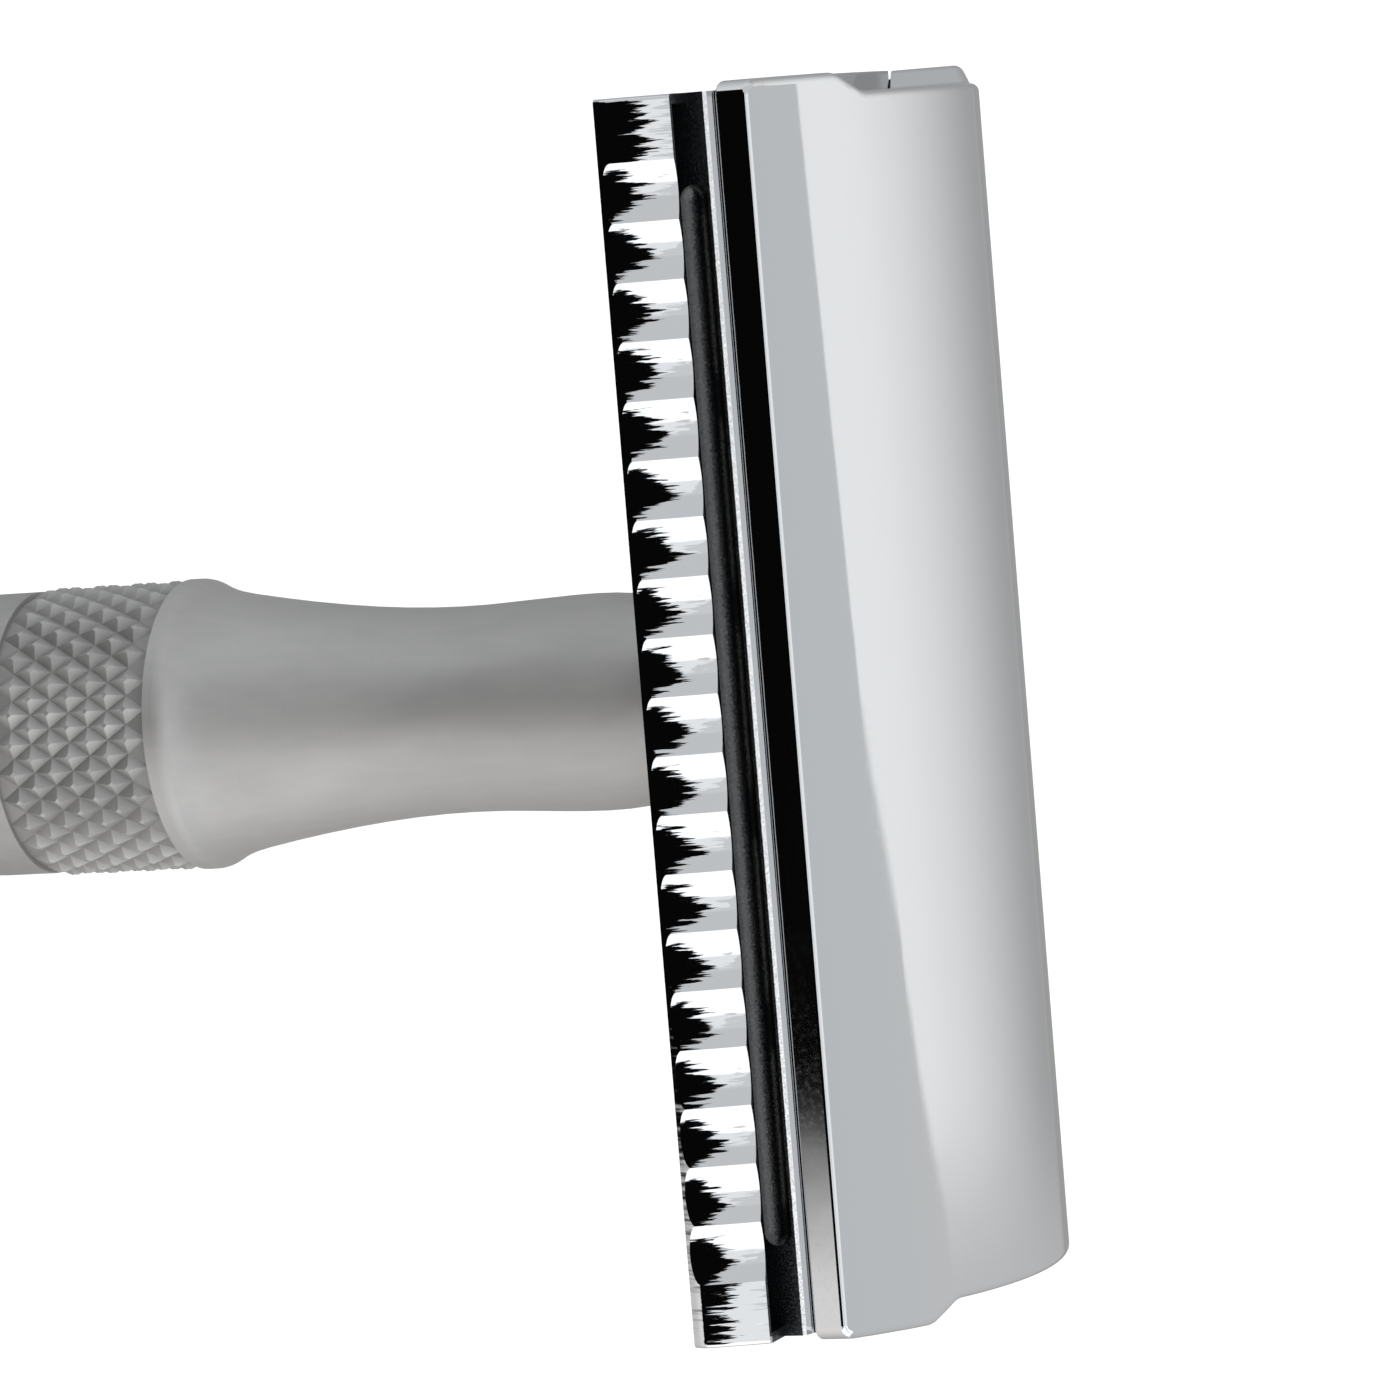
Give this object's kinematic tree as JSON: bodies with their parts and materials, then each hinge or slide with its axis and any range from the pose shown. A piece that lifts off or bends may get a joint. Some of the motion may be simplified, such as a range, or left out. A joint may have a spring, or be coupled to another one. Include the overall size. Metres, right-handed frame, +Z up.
{
  "type": "safety razor",
  "caption": "Double-edge safety razor with a domed chrome head, scalloped safety bars, a waisted neck and a knurled steel handle with a twist knob.",
  "frame": {"origin": "centre of the flat foot under the twist knob", "axes": "+X along the blade's edges, +Y across the head, +Z up the handle from knob to cap"},
  "size_m": [0.043, 0.0252, 0.0861],
  "materials": {
    "chrome": "polished",
    "satin_steel": "satin",
    "knurled_steel": "satin, diamond knurl",
    "turned_steel": "turned",
    "spring_steel": "satin",
    "brass": "turned",
    "nylon": "matte",
    "rubber": "matte"
  },
  "bodies": {
    "handle": {"base_plate": "chrome", "neck": "satin_steel", "grip_sleeve": "knurled_steel", "upper_bushing": "brass", "lower_bushing": "brass", "seal_ring": "rubber", "thrust_washer": "nylon"},
    "knob": {"twist_knob": "knurled_steel", "spindle": "turned_steel", "retaining_clip": "spring_steel", "disc_spring": "spring_steel", "lock_washer": "spring_steel", "knob_screw": "turned_steel", "knob_plug": "satin_steel"},
    "cap": {"cap": "chrome", "threaded_stud": "turned_steel", "guide_pins": "turned_steel"}
  },
  "joints": [
    {"name": "knob_turn", "type": "hinge", "parent": "handle", "child": "knob", "pos_m": [0, 0, 0], "axis": [0, 0, -1], "range_deg": [0, 1800]},
    {"name": "cap_lift", "type": "slide", "parent": "handle", "child": "cap", "axis": [0, 0, 1], "range_m": [0, 0.0035]}
  ],
  "couplings": [
    {"joint": "knob_turn", "follows": "cap_lift", "rad_per_m": 8976}
  ]
}
